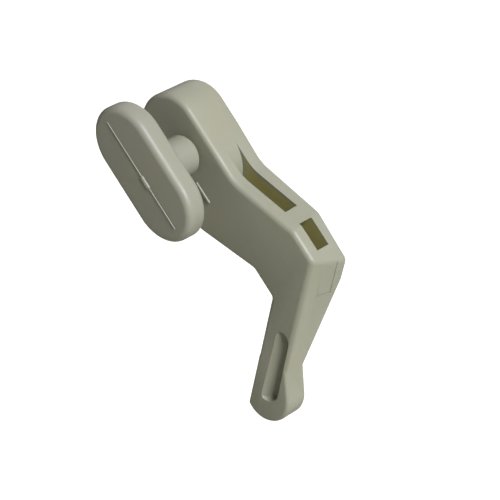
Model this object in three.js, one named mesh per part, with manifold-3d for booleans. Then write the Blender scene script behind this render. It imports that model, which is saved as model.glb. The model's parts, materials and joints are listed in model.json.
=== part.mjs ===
// Stair gate latch: a cranked thumb lever that turns on the spindle of a T-shaped head.
// The head hooks behind a slotted plate on the gate, and the lever swings on the near side of it.
// Millimetres, +Z up. The origin is on the spindle's axis, in the plane of the head's back face,
// which is the face that bears on the gate. +Y runs from the head towards the lever.
//
// Everything is drawn in the arm's own axes and turned as one group: x runs along the arm away
// from the crown, y runs outwards to the arm's spine, and z runs back towards the head.

import * as THREE from 'three';
import { mergeVertices } from 'three/addons/utils/BufferGeometryUtils.js';
import Module from 'manifold-3d';

const wasm = await Module();
wasm.setup();

// How the latch hangs
const ARM_TILT = 47.5; // degrees that the arm's own x axis points below level

// T-shaped head
const HEAD_LENGTH = 34.3;
const HEAD_END_LENGTH = 9.5; // length of each rounded end
const HEAD_WIDTH = 16;
const HEAD_THICKNESS = 6.4;
const HEAD_EDGE = 1.6; // rounding of the head's rims
const NECK_LENGTH = 9; // room for the gate's slotted plate
const NECK_RADIUS = 4.9;
const SPINDLE_RADIUS = 4;
const PILOT_DEPTH = 9; // blind hole for the screw

// Boss and arm of the lever
const BOSS_RADIUS = 8.3;
const BOSS_THICKNESS = 12.6;
const CROWN_OFFSET = 6.9; // crown's centre, above the pivot
const SHOULDER_LENGTH = 12; // pivot to the first bend
const SPLAY_LENGTH = 18.3;
const SPLAY_ANGLE = 23; // degrees outwards
const SPLAY_FACE_TILT = 3; // degrees that its outer face leans out towards the far side
const KNUCKLE_LENGTH = 7.9; // straight piece between the two outer bends
const KNUCKLE_THICKNESS = 10.9;
const ARM_DEPTH = 16.7; // spine to inner edge, at the knuckle
const ARM_BULGE = 1.3; // how far the inner edge swells below the boss
const ARM_EDGE = 1.2; // rounding of the rims
const BULGE_LAG = 2.5; // how far beyond the first bend the inner edge swells most
const INNER_LAG = 1.3; // how far the inner bend lies beyond the second bend

// Rounding of the arm's outline, bend by bend
const FIRST_ROUND = 9;
const SECOND_ROUND = 3;
const THIRD_ROUND = 1.5;
const BULGE_ROUND = 8;
const INNER_ROUND = 0.3;
const TIP_ROUND = 1.5;

// Handle
const HANDLE_LENGTH = 33.5;
const HANDLE_ANGLE = 55.9; // degrees inwards
const HANDLE_DEPTH = 8.5;
const HANDLE_FACE_TILT = 14; // degrees that its outer face leans out towards the far side
const THINNING_START = 7; // where the far side starts to thin, below the knuckle
const HANDLE_END_THICKNESS = 4.4;
const TIP_THICKNESS = 6.9;
const TIP_RADIUS = 6.2;
const TIP_SPINE = 1.6; // how far the arm's plate runs into the tip, in tip radii
const TIP_BULGE = 2.6; // how far the tip stands out past the handle's outer face
const TIP_TAPER = 3; // how far up the handle the tip begins to swell
const TIP_CORNER_ALONG = 4.9; // inner corner of the tip, from the tip's centre
const TIP_CORNER_ACROSS = 4.6;

// Finger dish in the near side of the handle
const DISH_START = 22; // from the knuckle, along the handle
const DISH_END = 40;
const DISH_INSET = 4.1; // from the handle's outer face
const DISH_WIDTH = 5;
const DISH_DEPTH = 1.1; // at its middle
const DISH_TILT = 30; // degrees that its floor turns towards the outer face

// Row of cored pockets down the spine
const POCKET_OFFSET = 3.55; // near side to the pockets
const POCKET_WIDTH = 4.2;
const POCKET_FLOOR_WALL = 3;
const HUB_RADIUS = 10; // round wall that closes the long pocket at the boss
const HUB_OFFSET = 3; // pivot to the place where it leaves the boss's outer face
const RIB_THICKNESS = 5.4; // between the long pocket and the second bend
const SHORT_POCKET_START = -1.1; // from the second bend
const SHORT_POCKET_LENGTH = 7.2;
const PLUG_START = 1.7; // from the knuckle, along the handle
const PLUG_LENGTH = 8.6;
const PLUG_DEPTH = 4;
const PLUG_POCKET_DEPTH = 5;

// Screw and washer that hold the lever on the spindle
const WASHER_RADIUS = 6;
const WASHER_THICKNESS = 1;
const WASHER_HOLE_RADIUS = 2.3;
const SCREW_RADIUS = 1.6;
const SCREW_THREAD_HEIGHT = 0.3;
const SCREW_PITCH = 1.2;
const SCREW_LENGTH = 8.5; // under the head
const SCREW_HEAD_RADIUS = 3.6;
const SCREW_HEAD_HEIGHT = 1.8;
const RECESS_LENGTH = 4;
const RECESS_WIDTH = 0.9;
const RECESS_DEPTH = 1.1;

// Clearances
const RUNNING_CLEARANCE = 0.15; // spindle in its bore, on the radius
const END_PLAY = 0.3; // lever between the neck's shoulder and the washer
const SEATED_GAP = 0.3; // between faces that bear on each other
const PLUG_CLEARANCE = 0.15;
const WASHER_CLEARANCE = 0.4;
const THREAD_CLEARANCE = 0.2;

// Roundness
const FINE = 64; // sides of a full turn on the large rounds
const COARSE = 32;
const EDGE_STEPS = 3;
const REACH = 100; // size of a cutting block, larger than the latch
const OUTLINE_STEPS = 8; // curve steps of the arm's outline
const PAD_STEPS = 24; // curve steps of the head and the tip
const OVERSHOOT = 3; // how far a cut runs past the face it opens
const TRIM = 0.05; // skimmed off where two pieces of the arm finish flush
const FACE_ROOT = 3; // how deep a leaning face is let into the arm
const FACE_LAP = 2; // how far it runs in under the boss

const radians = THREE.MathUtils.degToRad;
const boreRadius = SPINDLE_RADIUS + RUNNING_CLEARANCE;
const seatDepth = SEATED_GAP + WASHER_THICKNESS + SEATED_GAP + SCREW_HEAD_HEIGHT;
const nearFace = -NECK_LENGTH; // z of the lever's near side
const seatFace = nearFace - END_PLAY - (BOSS_THICKNESS - seatDepth); // z of the washer's seat
const spindleEnd = seatFace - END_PLAY;
const pilotRadius = SCREW_RADIUS + SCREW_THREAD_HEIGHT + THREAD_CLEARANCE;

// The arm's outline, from its own lengths and angles
const along = new THREE.Vector2(Math.cos(radians(HANDLE_ANGLE)), -Math.sin(radians(HANDLE_ANGLE)));
const outward = new THREE.Vector2(-along.y, along.x);
const firstBend = new THREE.Vector2(SHOULDER_LENGTH, BOSS_RADIUS);
const splay = new THREE.Vector2(Math.cos(radians(SPLAY_ANGLE)), Math.sin(radians(SPLAY_ANGLE)));
const secondBend = firstBend.clone().addScaledVector(splay, SPLAY_LENGTH);
const thirdBend = new THREE.Vector2(secondBend.x + KNUCKLE_LENGTH, secondBend.y);
const handleEnd = thirdBend.clone().addScaledVector(along, HANDLE_LENGTH);
const tipCentre = handleEnd.clone()
  .addScaledVector(along, TIP_RADIUS)
  .addScaledVector(outward, TIP_BULGE - TIP_RADIUS);
const tipEnd = handleEnd.clone().addScaledVector(along, TIP_SPINE * TIP_RADIUS);
const tipCorner = tipCentre.clone()
  .addScaledVector(along, TIP_CORNER_ALONG)
  .addScaledVector(outward, -TIP_CORNER_ACROSS);
const innerEdge = secondBend.y - ARM_DEPTH;
const innerSecond = new THREE.Vector2(secondBend.x + INNER_LAG, innerEdge);
const innerThird = thirdBend.clone().addScaledVector(outward, -HANDLE_DEPTH);
innerThird.addScaledVector(along, (innerThird.y - innerEdge) / -along.y);
const innerBulge = new THREE.Vector2(SHOULDER_LENGTH + BULGE_LAG, -BOSS_RADIUS - ARM_BULGE);

// ---- Tools for solids ----

function solidOf(geometry) {
  const bare = geometry.index ? geometry.toNonIndexed() : geometry.clone();
  bare.deleteAttribute('normal');
  bare.deleteAttribute('uv');
  const merged = mergeVertices(bare, 1e-4);
  return new wasm.Manifold(new wasm.Mesh({
    numProp: 3,
    vertProperties: new Float32Array(merged.attributes.position.array),
    triVerts: new Uint32Array(merged.index.array),
  }));
}

function geometryOf(solid) {
  const mesh = solid.getMesh();
  const geometry = new THREE.BufferGeometry();
  geometry.setAttribute('position', new THREE.BufferAttribute(mesh.vertProperties, 3));
  geometry.setIndex(new THREE.BufferAttribute(mesh.triVerts, 1));
  geometry.computeVertexNormals();
  return geometry;
}

// A closed outline through the given corners, each rounded to its own radius.
function roundedOutline(corners) {
  const shape = new THREE.Shape();
  corners.forEach((corner, i) => {
    const before = corners[(i + corners.length - 1) % corners.length];
    const after = corners[(i + 1) % corners.length];
    const point = new THREE.Vector2(corner.x, corner.y);
    const inward = new THREE.Vector2(before.x, before.y).sub(point).normalize();
    const onward = new THREE.Vector2(after.x, after.y).sub(point).normalize();
    const half = Math.acos(inward.dot(onward)) / 2;
    const reach = corner.r / Math.tan(half);
    const start = point.clone().addScaledVector(inward, reach);
    const end = point.clone().addScaledVector(onward, reach);
    const centre = point.clone()
      .addScaledVector(inward.clone().add(onward).normalize(), corner.r / Math.sin(half));
    const clockwise = inward.cross(onward) > 0;
    if (i === 0) shape.moveTo(start.x, start.y);
    else shape.lineTo(start.x, start.y);
    const from = Math.atan2(start.y - centre.y, start.x - centre.x);
    const to = Math.atan2(end.y - centre.y, end.x - centre.x);
    shape.absarc(centre.x, centre.y, corner.r, from, to, clockwise);
  });
  return shape;
}

// A plate cut to an outline, from z = 0 back to z = -thickness, with rounded rims.
function plate(shape, thickness, edge, curveSegments) {
  const geometry = new THREE.ExtrudeGeometry(shape, {
    depth: thickness - 2 * edge,
    curveSegments,
    bevelEnabled: edge > 0,
    bevelThickness: edge,
    bevelSize: edge,
    bevelOffset: -edge,
    bevelSegments: EDGE_STEPS,
  });
  geometry.translate(0, 0, edge - thickness);
  return solidOf(geometry);
}

// A round bar along z, from z = top down to z = bottom.
function bar(radius, top, bottom, sides, x = 0, y = 0) {
  const geometry = new THREE.CylinderGeometry(radius, radius, top - bottom, sides);
  geometry.rotateX(Math.PI / 2);
  geometry.translate(x, y, (top + bottom) / 2);
  return solidOf(geometry);
}

// A block with one face at a point, filling the side that the normal points to.
function blockBeyond(point, normal) {
  const geometry = new THREE.BoxGeometry(REACH, REACH, REACH);
  geometry.translate(0, 0, REACH / 2);
  const turn = new THREE.Quaternion()
    .setFromUnitVectors(new THREE.Vector3(0, 0, 1), normal.clone().normalize());
  geometry.applyQuaternion(turn);
  geometry.translate(point.x, point.y, point.z);
  return solidOf(geometry);
}

// A slice of the arm between the pockets' two side walls, cut to an outline.
function pocketPrism(points) {
  const shape = new THREE.Shape(points);
  const geometry = new THREE.ExtrudeGeometry(shape, { depth: POCKET_WIDTH, bevelEnabled: false });
  geometry.translate(0, 0, -POCKET_OFFSET - POCKET_WIDTH);
  return solidOf(geometry);
}

// ---- Outlines ----

const crownCorner = BOSS_RADIUS - TRIM; // the two crown corners nearly meet at the top
const armOutline = roundedOutline([
  { x: -CROWN_OFFSET - BOSS_RADIUS, y: -BOSS_RADIUS, r: crownCorner },
  { x: innerBulge.x, y: innerBulge.y, r: BULGE_ROUND },
  { x: innerSecond.x, y: innerSecond.y, r: INNER_ROUND },
  { x: innerThird.x, y: innerThird.y, r: INNER_ROUND },
  { x: tipCorner.x, y: tipCorner.y, r: TIP_ROUND },
  { x: tipEnd.x, y: tipEnd.y, r: TIP_ROUND },
  { x: thirdBend.x, y: thirdBend.y, r: THIRD_ROUND },
  { x: secondBend.x, y: secondBend.y, r: SECOND_ROUND },
  { x: firstBend.x, y: firstBend.y, r: FIRST_ROUND },
  { x: -CROWN_OFFSET - BOSS_RADIUS, y: BOSS_RADIUS, r: crownCorner },
]);

// The tip is a round pad that swells out of the handle's outer face. It is trimmed flat in line
// with the handle's inner edge.
function tipSolid() {
  const root = handleEnd.clone().addScaledVector(along, -TIP_TAPER);
  const inner = root.clone().addScaledVector(outward, -HANDLE_DEPTH);
  const toRoot = root.clone().sub(tipCentre);
  const tangent = toRoot.angle() - Math.acos(TIP_RADIUS / toRoot.length());
  const shape = new THREE.Shape();
  shape.moveTo(inner.x, inner.y);
  shape.lineTo(root.x, root.y);
  shape.absarc(tipCentre.x, tipCentre.y, TIP_RADIUS, tangent, outward.angle() - Math.PI, true);
  shape.closePath();
  const run = tipCorner.clone().sub(innerThird).normalize();
  const flat = blockBeyond(
    new THREE.Vector3(tipCorner.x - TRIM * run.y, tipCorner.y + TRIM * run.x, 0),
    new THREE.Vector3(run.y, -run.x, 0));
  return plate(shape, TIP_THICKNESS, ARM_EDGE, PAD_STEPS).subtract(flat);
}

// A wedge that makes one outer face lean out towards the far side. It starts at a bend and
// follows the arm's near rim, at an angle to the x axis.
function leaningFace(start, angle, length, tilt) {
  const profile = new THREE.Shape([
    new THREE.Vector2(-FACE_ROOT, -ARM_EDGE),
    new THREE.Vector2(-FACE_ROOT, -BOSS_THICKNESS - TRIM),
    new THREE.Vector2(BOSS_THICKNESS * Math.tan(radians(tilt)), -BOSS_THICKNESS - TRIM),
    new THREE.Vector2(-TRIM, -ARM_EDGE),
  ]);
  const geometry = new THREE.ExtrudeGeometry(profile, { depth: length, bevelEnabled: false });
  const out = new THREE.Vector3(-Math.sin(radians(angle)), Math.cos(radians(angle)), 0);
  const onward = new THREE.Vector3(Math.cos(radians(angle)), Math.sin(radians(angle)), 0);
  const turn = new THREE.Matrix4().makeBasis(out, new THREE.Vector3(0, 0, 1), onward);
  geometry.applyMatrix4(turn.setPosition(start.x, start.y, 0));
  return solidOf(geometry);
}

// ---- Lever arm ----

function leverSolid() {
  let arm = plate(armOutline, BOSS_THICKNESS, ARM_EDGE, OUTLINE_STEPS);

  // Two of the outer faces lean out. The knuckle between them is square.
  const lapped = firstBend.clone().addScaledVector(splay, -FACE_LAP);
  arm = arm.add(leaningFace(lapped, SPLAY_ANGLE, SPLAY_LENGTH + FACE_LAP, SPLAY_FACE_TILT));
  arm = arm.add(leaningFace(thirdBend, -HANDLE_ANGLE, HANDLE_LENGTH, HANDLE_FACE_TILT));
  arm = arm.subtract(blockBeyond(
    new THREE.Vector3(0, secondBend.y - TRIM, 0), new THREE.Vector3(0, 1, 0)));

  // The far side draws in from the pivot to the knuckle.
  const draft = (BOSS_THICKNESS - KNUCKLE_THICKNESS) / thirdBend.x;
  arm = arm.subtract(blockBeyond(
    new THREE.Vector3(0, 0, -BOSS_THICKNESS), new THREE.Vector3(draft, 0, -1)));

  // Below the knuckle it thins further, down to the tip.
  const thinningRun = HANDLE_LENGTH - THINNING_START;
  const thinning = (KNUCKLE_THICKNESS - HANDLE_END_THICKNESS) / thinningRun;
  const start = thirdBend.clone().addScaledVector(along, THINNING_START);
  const below = blockBeyond(
    new THREE.Vector3(start.x, start.y, 0), new THREE.Vector3(along.x, along.y, 0));
  arm = arm.subtract(below.intersect(blockBeyond(
    new THREE.Vector3(handleEnd.x, handleEnd.y, -HANDLE_END_THICKNESS),
    new THREE.Vector3(thinning * along.x, thinning * along.y, -1))));

  // The near side is flush from the boss to the tip.
  arm = arm.add(tipSolid());
  arm = arm.subtract(blockBeyond(new THREE.Vector3(0, 0, -TRIM), new THREE.Vector3(0, 0, 1)));
  arm = arm.subtract(bar(boreRadius, 1, -BOSS_THICKNESS - 1, FINE));
  arm = arm.subtract(bar(WASHER_RADIUS + WASHER_CLEARANCE,
    seatDepth - BOSS_THICKNESS, -BOSS_THICKNESS - 1, FINE));
  arm = arm.subtract(longPocket());
  arm = arm.subtract(shortPocket());
  arm = arm.subtract(onHandleFace(PLUG_LENGTH, POCKET_WIDTH, PLUG_POCKET_DEPTH, 1));
  arm = arm.subtract(fingerDish());
  return arm;
}

// Follows the spine over the first bend, from the hub's round wall to the rib.
function longPocket() {
  const end = secondBend.clone().addScaledVector(splay, -RIB_THICKNESS);
  const across = new THREE.Vector2(-splay.y, splay.x);
  const innerRun = innerSecond.clone().sub(innerBulge).normalize();
  const innerNormal = new THREE.Vector2(-innerRun.y, innerRun.x);
  const floorStart = innerBulge.clone().addScaledVector(innerNormal, POCKET_FLOOR_WALL);
  const floorTurn = end.clone().sub(floorStart);
  const depth = floorTurn.dot(innerNormal) / across.dot(innerNormal);
  const floorEnd = end.clone().addScaledVector(across, -depth);
  const channel = pocketPrism([
    new THREE.Vector2(HUB_OFFSET, BOSS_RADIUS + OVERSHOOT),
    new THREE.Vector2(HUB_OFFSET, 0),
    floorStart,
    floorEnd,
    end.clone().addScaledVector(across, OVERSHOOT),
    firstBend.clone().addScaledVector(across, OVERSHOOT),
  ]);
  const hub = bar(HUB_RADIUS, 1, -BOSS_THICKNESS - 1, FINE)
    .translate([HUB_OFFSET, BOSS_RADIUS - HUB_RADIUS, 0]);
  return channel.subtract(hub);
}

function shortPocket() {
  const left = secondBend.x + SHORT_POCKET_START;
  const right = left + SHORT_POCKET_LENGTH;
  const floor = innerEdge + POCKET_FLOOR_WALL;
  return pocketPrism([
    new THREE.Vector2(left, floor),
    new THREE.Vector2(right, floor),
    new THREE.Vector2(right, secondBend.y + OVERSHOOT),
    new THREE.Vector2(left, secondBend.y + OVERSHOOT),
  ]);
}

// A block set square into the handle's leaning outer face, in line with the pockets.
function onHandleFace(length, width, depth, proud) {
  const geometry = new THREE.BoxGeometry(length, depth + proud, width);
  geometry.translate(0, (proud - depth) / 2, 0);
  geometry.rotateX(radians(HANDLE_FACE_TILT));
  geometry.rotateZ(-radians(HANDLE_ANGLE));
  const middle = POCKET_OFFSET + POCKET_WIDTH / 2;
  const place = thirdBend.clone()
    .addScaledVector(along, PLUG_START + PLUG_LENGTH / 2)
    .addScaledVector(outward, middle * Math.tan(radians(HANDLE_FACE_TILT)));
  geometry.translate(place.x, place.y, -middle);
  return solidOf(geometry);
}

// A long thumb scoop. Its floor turns towards the outer face, so it is deepest on that side.
function fingerDish() {
  const radius = DISH_WIDTH / 2;
  const half = (DISH_END - DISH_START) / 2 - radius;
  const shape = new THREE.Shape();
  shape.absarc(half, 0, radius, -Math.PI / 2, Math.PI / 2, false);
  shape.absarc(-half, 0, radius, Math.PI / 2, Math.PI * 1.5, false);
  shape.closePath();
  const depth = DISH_DEPTH + OVERSHOOT;
  const geometry = new THREE.ExtrudeGeometry(shape, { depth, bevelEnabled: false });
  geometry.rotateX(-radians(DISH_TILT));
  geometry.rotateZ(-radians(HANDLE_ANGLE));
  const place = thirdBend.clone()
    .addScaledVector(along, (DISH_START + DISH_END) / 2)
    .addScaledVector(outward, -DISH_INSET);
  geometry.translate(place.x, place.y, -DISH_DEPTH);
  return solidOf(geometry);
}

// ---- Plug in the handle ----

function plugSolid() {
  const side = 2 * PLUG_CLEARANCE;
  return onHandleFace(PLUG_LENGTH - side, POCKET_WIDTH - side, PLUG_DEPTH, 0);
}

// ---- T-shaped head, neck and spindle ----

function headSolid() {
  const half = HEAD_LENGTH / 2 - HEAD_END_LENGTH;
  const radius = HEAD_WIDTH / 2;
  const shape = new THREE.Shape();
  shape.absellipse(half, 0, HEAD_END_LENGTH, radius, -Math.PI / 2, Math.PI / 2, false, 0);
  shape.absellipse(-half, 0, HEAD_END_LENGTH, radius, Math.PI / 2, Math.PI * 1.5, false, 0);
  shape.closePath();
  const board = plate(shape, HEAD_THICKNESS, HEAD_EDGE, PAD_STEPS).translate([0, 0, HEAD_THICKNESS]);
  const neck = bar(NECK_RADIUS, HEAD_THICKNESS / 2, nearFace, FINE);
  const spindle = bar(SPINDLE_RADIUS, 0, spindleEnd, FINE);
  const pilot = bar(pilotRadius, spindleEnd + PILOT_DEPTH, spindleEnd - 1, COARSE);
  return board.add(neck).add(spindle).subtract(pilot);
}

// ---- Washer and screw ----

const washerTop = spindleEnd - SEATED_GAP;
const screwTop = washerTop - WASHER_THICKNESS - SEATED_GAP;

function washerSolid() {
  const bottom = washerTop - WASHER_THICKNESS;
  return bar(WASHER_RADIUS, washerTop, bottom, FINE)
    .subtract(bar(WASHER_HOLE_RADIUS, washerTop + 1, bottom - 1, COARSE));
}

// A pan-head screw with ridges for its thread and a cross recess.
function screwSolid() {
  const profile = [new THREE.Vector2(0, SCREW_LENGTH)];
  const ridges = Math.floor((SCREW_LENGTH - SCREW_PITCH) / SCREW_PITCH);
  profile.push(new THREE.Vector2(SCREW_RADIUS * 0.6, SCREW_LENGTH));
  for (let i = 0; i < ridges; i += 1) {
    const y = SCREW_LENGTH - SCREW_PITCH * (i + 0.5);
    profile.push(new THREE.Vector2(SCREW_RADIUS, y));
    profile.push(new THREE.Vector2(SCREW_RADIUS + SCREW_THREAD_HEIGHT, y - SCREW_PITCH / 2));
  }
  const lastRidge = SCREW_LENGTH - SCREW_PITCH * (ridges + 0.5);
  profile.push(new THREE.Vector2(SCREW_RADIUS, lastRidge));
  profile.push(new THREE.Vector2(SCREW_RADIUS, 0));
  profile.push(new THREE.Vector2(SCREW_HEAD_RADIUS, 0));
  profile.push(new THREE.Vector2(SCREW_HEAD_RADIUS, -SCREW_HEAD_HEIGHT * 0.4));
  profile.push(new THREE.Vector2(SCREW_HEAD_RADIUS * 0.85, -SCREW_HEAD_HEIGHT * 0.8));
  profile.push(new THREE.Vector2(SCREW_HEAD_RADIUS * 0.6, -SCREW_HEAD_HEIGHT));
  profile.push(new THREE.Vector2(0, -SCREW_HEAD_HEIGHT));
  const geometry = new THREE.LatheGeometry(profile.reverse(), COARSE);
  geometry.rotateX(Math.PI / 2);
  geometry.translate(0, 0, screwTop);
  let screw = solidOf(geometry);
  for (const turn of [0, Math.PI / 2]) {
    const slot = new THREE.BoxGeometry(RECESS_LENGTH, RECESS_WIDTH, 2 * RECESS_DEPTH);
    slot.rotateZ(turn);
    slot.translate(0, 0, screwTop - SCREW_HEAD_HEIGHT);
    screw = screw.subtract(solidOf(slot));
  }
  return screw;
}

// ---- Assembly ----

function moulded(color) {
  return new THREE.MeshStandardMaterial({ color, roughness: 0.5, metalness: 0 });
}

function steel() {
  return new THREE.MeshStandardMaterial({ color: 0xb8bbc0, roughness: 0.35, metalness: 1 });
}

function piece(name, solid, material) {
  const mesh = new THREE.Mesh(geometryOf(solid), material);
  mesh.name = name;
  return mesh;
}

const lever = new THREE.Group();
lever.position.z = nearFace - END_PLAY;
lever.add(piece('lever_arm', leverSolid(), moulded(0xd6d8c8)));
lever.add(piece('handle_plug', plugSolid(), moulded(0xd9dbcb)));

const head = new THREE.Group();
head.add(piece('t_head', headSolid(), moulded(0xd3d5c5)));
head.add(piece('retaining_washer', washerSolid(), steel()));
head.add(piece('retaining_screw', screwSolid(), steel()));

const latch = new THREE.Group();
latch.rotation.set(Math.PI / 2, radians(ARM_TILT), 0, 'YXZ');
latch.add(head, lever);

export default latch;
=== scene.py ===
"""Stair gate latch: fine meshes, finishes, floor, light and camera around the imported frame.

Every piece is modelled in the arm's own axes, in metres, and then turned into the frame as a
whole: x runs along the arm away from the crown, y runs outwards to the arm's spine, and z runs
back towards the T-shaped head. z = 0 is the head's back face and x = y = 0 is the pivot's axis.
Sizes are given in millimetres.
"""

import json
import logging
import math
from dataclasses import dataclass, field
from enum import Enum
from typing import Callable, Iterable, Optional, Sequence, Union

import bmesh
import bpy
from mathutils import Matrix, Vector


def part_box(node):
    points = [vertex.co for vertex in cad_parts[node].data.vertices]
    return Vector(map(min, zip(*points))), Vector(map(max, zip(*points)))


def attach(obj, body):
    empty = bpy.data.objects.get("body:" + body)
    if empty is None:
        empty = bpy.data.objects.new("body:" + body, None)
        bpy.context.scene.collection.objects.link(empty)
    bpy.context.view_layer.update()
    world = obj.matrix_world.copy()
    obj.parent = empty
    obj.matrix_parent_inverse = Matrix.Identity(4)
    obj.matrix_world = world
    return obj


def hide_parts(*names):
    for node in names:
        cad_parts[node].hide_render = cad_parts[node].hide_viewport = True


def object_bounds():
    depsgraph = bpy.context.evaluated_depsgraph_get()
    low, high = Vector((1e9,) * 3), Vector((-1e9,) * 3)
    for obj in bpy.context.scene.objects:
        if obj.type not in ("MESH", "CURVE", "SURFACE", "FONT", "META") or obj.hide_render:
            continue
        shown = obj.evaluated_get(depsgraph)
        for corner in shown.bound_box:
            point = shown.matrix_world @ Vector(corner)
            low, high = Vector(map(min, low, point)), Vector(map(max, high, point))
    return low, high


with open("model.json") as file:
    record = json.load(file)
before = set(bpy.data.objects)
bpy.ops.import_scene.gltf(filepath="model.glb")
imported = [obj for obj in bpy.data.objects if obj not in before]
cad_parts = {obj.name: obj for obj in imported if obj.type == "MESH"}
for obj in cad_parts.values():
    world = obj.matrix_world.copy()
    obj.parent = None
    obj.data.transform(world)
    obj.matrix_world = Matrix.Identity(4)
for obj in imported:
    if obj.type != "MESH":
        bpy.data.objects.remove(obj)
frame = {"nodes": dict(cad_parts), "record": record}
CAD_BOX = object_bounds()

log = logging.getLogger("latch")

MM = 0.001
HAIR = 1e-6  # metres; the slack for places that should be the same is a few of these
CAP = 0.9  # a face closes an end when its normal's share along the axis is past this
WHITE = (1.0, 1.0, 1.0, 1.0)
BLACK = (0.0, 0.0, 0.0, 1.0)

Point = tuple[float, float, float]
Flat = tuple[float, float]
Socket = bpy.types.NodeSocket
Amount = Union[Socket, float]
Tint = Union[Socket, tuple[float, float, float, float]]


# ---------------------------------------------------------------- choices

class Element(Enum):
    """Which elements of a mesh are selected."""

    VERT = "VERT"
    EDGE = "EDGE"
    FACE = "FACE"


class Body(Enum):
    """Which body of the frame a piece moves with."""

    HEAD = "head"
    LEVER = "lever"


class Cut(Enum):
    """How a boolean modifier joins two solids."""

    JOIN = "UNION"
    TAKE_AWAY = "DIFFERENCE"


# ---------------------------------------------------------------- the frame's own places

@dataclass(frozen=True)
class ArmAxes:
    """The arm's axes in the frame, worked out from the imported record.

    Attributes:
        turn: matrix that takes a point from the arm's axes into the frame.
    """

    turn: Matrix

    @staticmethod
    def from_record(record: dict) -> "ArmAxes":
        """Reads the arm's direction from the mount on the head's back face.

        Args:
            record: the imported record.

        Returns:
            The arm's axes.
        """
        places = {mount["name"]: Vector(mount["pos_m"]) for mount in record["mounts"]}
        along = (places["head_back_face"] - places["gate_slot"]).normalized()
        back = Vector((0.0, -1.0, 0.0))
        out = back.cross(along)
        turn = Matrix((along, out, back)).transposed().to_4x4()
        return ArmAxes(turn)


# ---------------------------------------------------------------- modelling by operator

def heading(degrees: float) -> Vector:
    """Unit vector in the arm's plane at an angle to its x axis."""
    return Vector((math.cos(math.radians(degrees)), math.sin(math.radians(degrees)), 0.0))


def only(obj: bpy.types.Object) -> None:
    """Selects one object and makes it active.

    Args:
        obj: the object.
    """
    bpy.ops.object.select_all(action="DESELECT")
    obj.select_set(True)
    bpy.context.view_layer.objects.active = obj


def edit(obj: bpy.types.Object) -> bmesh.types.BMesh:
    """Opens an object in edit mode with nothing selected.

    Args:
        obj: the object to edit.

    Returns:
        Its edit mesh.
    """
    only(obj)
    bpy.ops.object.mode_set(mode="EDIT")
    bpy.ops.mesh.select_all(action="DESELECT")
    return bmesh.from_edit_mesh(obj.data)


def leave_edit() -> None:
    """Goes back to object mode."""
    bpy.ops.object.mode_set(mode="OBJECT")


def pick_all() -> None:
    """Selects the whole mesh in edit mode."""
    bpy.ops.mesh.select_all(action="SELECT")


def pick(obj: bpy.types.Object, kind: Element, test: Callable[[object], bool]) -> int:
    """Selects the verts, edges or faces that pass a test, in edit mode.

    Args:
        obj: the object in edit mode.
        kind: which elements.
        test: says whether an element is wanted.

    Returns:
        How many were selected.
    """
    bpy.ops.mesh.select_mode(type=kind.value)
    bpy.ops.mesh.select_all(action="DESELECT")
    mesh = bmesh.from_edit_mesh(obj.data)
    group = {Element.VERT: mesh.verts, Element.EDGE: mesh.edges, Element.FACE: mesh.faces}[kind]
    wanted = [item for item in group if test(item)]
    for item in wanted:
        item.select_set(True)
    mesh.select_flush_mode()
    bmesh.update_edit_mesh(obj.data)
    return len(wanted)


def is_rim(edge: bmesh.types.BMEdge, wall: float = 0.6) -> bool:
    """Says whether an edge parts a flat side from the wall round it.

    Args:
        edge: the edge.
        wall: a face is a wall when its normal's z is below this.

    Returns:
        Whether it does.
    """
    if len(edge.link_faces) != 2:
        return False
    low, high = sorted(abs(face.normal.z) for face in edge.link_faces)
    return high > CAP and low < wall


def extrude(way: Sequence[float]) -> None:
    """Extrudes what is selected by a way in metres."""
    bpy.ops.mesh.extrude_region_move(TRANSFORM_OT_translate={"value": way})


def bevel(width: float, segments: int, clamp: bool = True) -> None:
    """Rounds the selected edges over a width in millimetres."""
    bpy.ops.mesh.bevel(offset=width * MM, segments=segments, clamp_overlap=clamp)


def squeeze(x: float, y: float) -> None:
    """Scales what is selected along x and y, about the origin."""
    bpy.ops.transform.resize(value=(x, y, 1), center_override=(0, 0, 0))


def face_outward() -> None:
    """Turns every face outwards and goes back to object mode."""
    pick_all()
    bpy.ops.mesh.normals_make_consistent(inside=False)
    leave_edit()


def name_last(name: str) -> bpy.types.Object:
    """Names the object that an operator has just added.

    Args:
        name: its new name.

    Returns:
        The object.
    """
    obj = bpy.context.active_object
    obj.name = name
    obj.data.name = name
    return obj


def settle(obj: bpy.types.Object) -> bpy.types.Object:
    """Puts an object's place, turn and scale into its mesh.

    Args:
        obj: the object.

    Returns:
        The same object.
    """
    only(obj)
    bpy.ops.object.transform_apply(location=True, rotation=True, scale=True)
    return obj


def add_block(name: str, low: Sequence[float], high: Sequence[float]) -> bpy.types.Object:
    """Adds a box between two corners.

    Args:
        name: the object's name.
        low: its corner with the lowest x, y and z, in millimetres.
        high: the opposite corner, in millimetres.

    Returns:
        The box.
    """
    lowest, highest = Vector(low) * MM, Vector(high) * MM
    bpy.ops.mesh.primitive_cube_add(size=1, location=(lowest + highest) / 2,
                                    scale=highest - lowest)
    return settle(name_last(name))


def add_round(name: str, centre: Flat, radius: float, top: float, bottom: float,
              sides: int = 96) -> bpy.types.Object:
    """Adds a round bar along z.

    Args:
        name: the object's name.
        centre: x and y of its axis, in millimetres.
        radius: its radius, in millimetres.
        top: z of its upper end, in millimetres.
        bottom: z of its lower end, in millimetres.
        sides: sides of a full turn.

    Returns:
        The bar.
    """
    bpy.ops.mesh.primitive_cylinder_add(
        vertices=sides, radius=radius * MM, depth=(top - bottom) * MM,
        location=(centre[0] * MM, centre[1] * MM, (top + bottom) / 2 * MM))
    return settle(name_last(name))


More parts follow.
